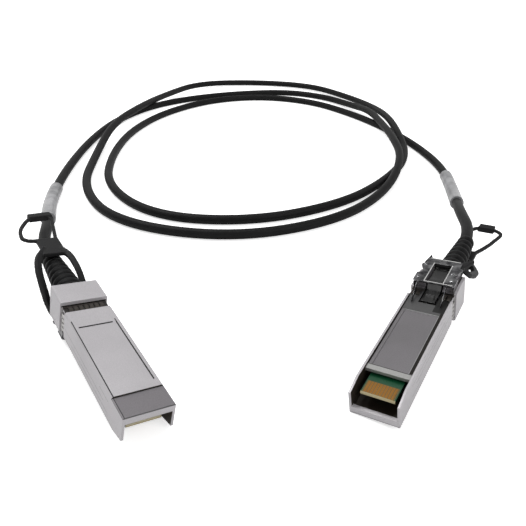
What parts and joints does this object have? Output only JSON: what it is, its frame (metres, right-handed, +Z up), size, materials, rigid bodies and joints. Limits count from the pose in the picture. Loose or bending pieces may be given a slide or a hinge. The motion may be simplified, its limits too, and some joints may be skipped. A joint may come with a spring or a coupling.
{
  "type": "direct attach copper cable",
  "caption": "Black copper cable in open turns, with a metal pluggable connector, pull tab and label sleeve at each end; one plug lies face up, the other face down.",
  "frame": {"origin": "on the floor, at the middle of the two plugs with their pull tabs", "axes": "+Z up, +Y from the plugs towards the coiled cable, +X towards the plug that lies bottom up"},
  "size_m": [0.1992, 0.3987, 0.0196],
  "materials": {
    "cast_shell": "satin",
    "spring_sheet": "brushed",
    "latch_metal": "polished",
    "circuit_board": "gloss",
    "gold": "polished",
    "black_mould": "matte",
    "cable_black": "matte",
    "wire": "matte",
    "label_film": "satin"
  },
  "bodies": {
    "plugs_and_cable": {"cable_jacket": "cable_black", "left_label_sleeve": "label_film", "right_label_sleeve": "label_film", "left_top_shell": "cast_shell", "left_bottom_shell": "cast_shell", "left_paddle_card": "circuit_board", "left_contact_pads": "gold", "left_emi_collar": "spring_sheet", "left_latch_pin": "latch_metal", "left_strain_relief": "black_mould", "left_wire_pairs": "wire", "right_top_shell": "cast_shell", "right_bottom_shell": "cast_shell", "right_paddle_card": "circuit_board", "right_contact_pads": "gold", "right_emi_collar": "spring_sheet", "right_latch_pin": "latch_metal", "right_strain_relief": "black_mould", "right_wire_pairs": "wire"},
    "left_release": {"left_latch_slider": "latch_metal", "left_pull_tab": "black_mould"},
    "left_latch": {"left_latch_rocker": "latch_metal"},
    "right_release": {"right_latch_slider": "latch_metal", "right_pull_tab": "black_mould"},
    "right_latch": {"right_latch_rocker": "latch_metal"}
  },
  "joints": [
    {"name": "left_pull", "type": "slide", "parent": "plugs_and_cable", "child": "left_release", "axis": [-0.5502, 0.8315, 0.0767], "range_m": [0, 0.0025], "stiffness_N_per_m": 400, "springref_m": -0.0005},
    {"name": "left_latch_rock", "type": "hinge", "parent": "plugs_and_cable", "child": "left_latch", "pos_m": [-0.05659, -0.00559, 0.00326], "axis": [-0.8159, -0.5548, 0.1627], "range_deg": [0, 8]},
    {"name": "right_pull", "type": "slide", "parent": "plugs_and_cable", "child": "right_release", "axis": [0.507, 0.8545, 0.1132], "range_m": [0, 0.0025], "stiffness_N_per_m": 400, "springref_m": -0.0005},
    {"name": "right_latch_rock", "type": "hinge", "parent": "plugs_and_cable", "child": "right_latch", "pos_m": [0.0509, 0.00196, 0.01569], "axis": [0.8498, -0.5175, 0.1004], "range_deg": [0, 8]}
  ],
  "couplings": [
    {"joint": "left_latch_rock", "follows": "left_pull", "rad_per_m": 45},
    {"joint": "right_latch_rock", "follows": "right_pull", "rad_per_m": 45}
  ]
}
